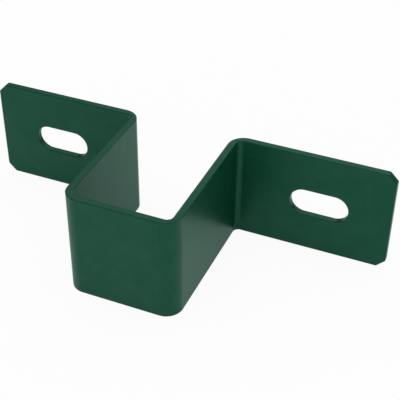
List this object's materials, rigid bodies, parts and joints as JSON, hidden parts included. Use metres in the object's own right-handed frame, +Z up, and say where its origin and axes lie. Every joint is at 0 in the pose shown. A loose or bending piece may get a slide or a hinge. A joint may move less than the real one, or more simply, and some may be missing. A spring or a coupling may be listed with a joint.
{
  "type": "wall post bracket",
  "caption": "Dark green folded strap bracket that holds a rectangular fence post against a wall, with a slotted ear on each side.",
  "frame": {"origin": "below the middle of the bracket, on the level of its lower edge, halfway between the front plate's outer face and the wall", "axes": "+Z up along the post and across the strap's width, X along the wall from ear to ear, +Y towards the wall"},
  "size_m": [0.177, 0.065, 0.045],
  "materials": {
    "green_powder_coat": "dark moss green powder coat with a smooth satin shine"
  },
  "bodies": {
    "root": {"folded_strap": "green_powder_coat"}
  },
  "joints": []
}
